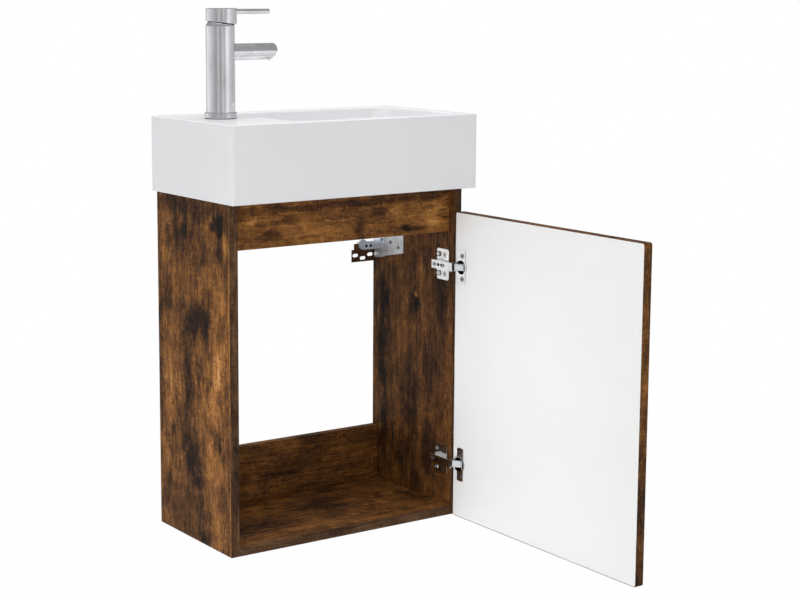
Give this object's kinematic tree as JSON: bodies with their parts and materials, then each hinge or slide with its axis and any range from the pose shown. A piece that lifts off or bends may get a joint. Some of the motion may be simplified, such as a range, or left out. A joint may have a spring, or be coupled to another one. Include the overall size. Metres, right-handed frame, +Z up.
{
  "type": "wall-hung vanity unit",
  "caption": "Wall-hung hand-wash vanity unit: ceramic basin with lever tap on a smoked-oak cabinet with an open back and a right-hinged, handle-less door.",
  "frame": {"origin": "in the wall plane at mid-width, midway between the outer wall slots", "axes": "+X along the front to the hinge side, +Y into the wall, +Z up"},
  "size_m": [0.46, 0.6679, 0.84],
  "materials": {
    "oak_decor": "matte printed smoked-oak decor on chipboard",
    "oak_edge": "matte smoked-oak edge band",
    "white_decor": "matte white melamine sheet",
    "zinc": "dull zinc plated",
    "bronze": "dark bronze coating",
    "nickel": "bright nickel plated",
    "steel": "bright steel",
    "beech": "raw beech",
    "glaze": "glossy white glaze",
    "chrome": "polished chrome",
    "rubber": "matte black",
    "polymer": "moulded off-white",
    "brass": "machined"
  },
  "bodies": {
    "cabinet": {"side_panel_left": "oak_decor", "side_panel_right": "oak_decor", "bottom_panel": "oak_decor", "front_rail": "oak_decor", "back_rail": "oak_decor", "edge_band_left": "oak_edge", "edge_band_right": "oak_edge", "edge_band_bottom": "oak_edge", "cam_discs": "zinc", "cam_bolts": "nickel", "dowels": "beech", "hinge_plate_upper": "nickel", "hinge_plate_lower": "nickel", "hinge_arm_upper": "nickel", "hinge_arm_lower": "nickel", "plate_screws": "steel", "arm_screws": "steel", "wall_plate_left": "bronze", "wall_plate_right": "bronze", "hanger_plate_left": "zinc", "hanger_plate_right": "zinc", "hanger_hook_left": "nickel", "hanger_hook_right": "nickel", "hanger_screws": "steel", "hook_rivets": "steel", "basin": "glaze", "waste_body": "chrome", "waste_seals": "rubber", "waste_nut": "chrome", "tap_body": "chrome", "tap_base_ring": "chrome", "tap_seal": "rubber", "tap_spout": "chrome", "tap_aerator": "chrome", "tap_collar": "chrome", "tap_cartridge": "polymer", "tap_stud": "steel", "tap_gasket": "rubber", "tap_washer": "steel", "tap_nut": "brass"},
    "door": {"door_panel": "oak_decor", "door_edge_band": "oak_edge", "door_inner_sheet": "white_decor", "hinge_cup_upper": "nickel", "hinge_cup_lower": "nickel", "hinge_pins": "nickel", "cup_screws": "steel"},
    "hinge_link_upper": {"hinge_link_upper": "nickel"},
    "hinge_link_lower": {"hinge_link_lower": "nickel"},
    "tap_swivel": {"cartridge_rotor": "polymer", "lever_pivot_pin": "steel"},
    "tap_handle": {"lever_stem": "brass", "handle_cap": "chrome", "handle_lever": "chrome"},
    "waste_plug": {"waste_plug": "chrome"}
  },
  "joints": [
    {"name": "door_hinge", "type": "hinge", "parent": "cabinet", "child": "door", "pos_m": [0.2125, -0.2369, 0], "axis": [0, 0, 1], "range_deg": [-90, 10]},
    {"name": "link_turn_upper", "type": "hinge", "parent": "door", "child": "hinge_link_upper", "pos_m": [0.2108, -0.2494, 0.008], "axis": [0, 0, 1], "range_deg": [-6, 46]},
    {"name": "link_turn_lower", "type": "hinge", "parent": "door", "child": "hinge_link_lower", "pos_m": [0.2108, -0.2494, -0.322], "axis": [0, 0, 1], "range_deg": [-6, 46]},
    {"name": "handle_swivel", "type": "hinge", "parent": "cabinet", "child": "tap_swivel", "pos_m": [-0.167, -0.115, 0.394], "axis": [0, 0, 1], "range_deg": [-45, 45]},
    {"name": "lever_lift", "type": "hinge", "parent": "tap_swivel", "child": "tap_handle", "pos_m": [-0.167, -0.115, 0.394], "axis": [0, -1, 0], "range_deg": [0, 20]},
    {"name": "plug_click", "type": "slide", "parent": "cabinet", "child": "waste_plug", "axis": [0, 0, 1], "range_m": [0, 0.007]}
  ],
  "couplings": [
    {"joint": "link_turn_upper", "follows": "door_hinge", "ratio": -0.4944},
    {"joint": "link_turn_lower", "follows": "door_hinge", "ratio": -0.4944}
  ]
}
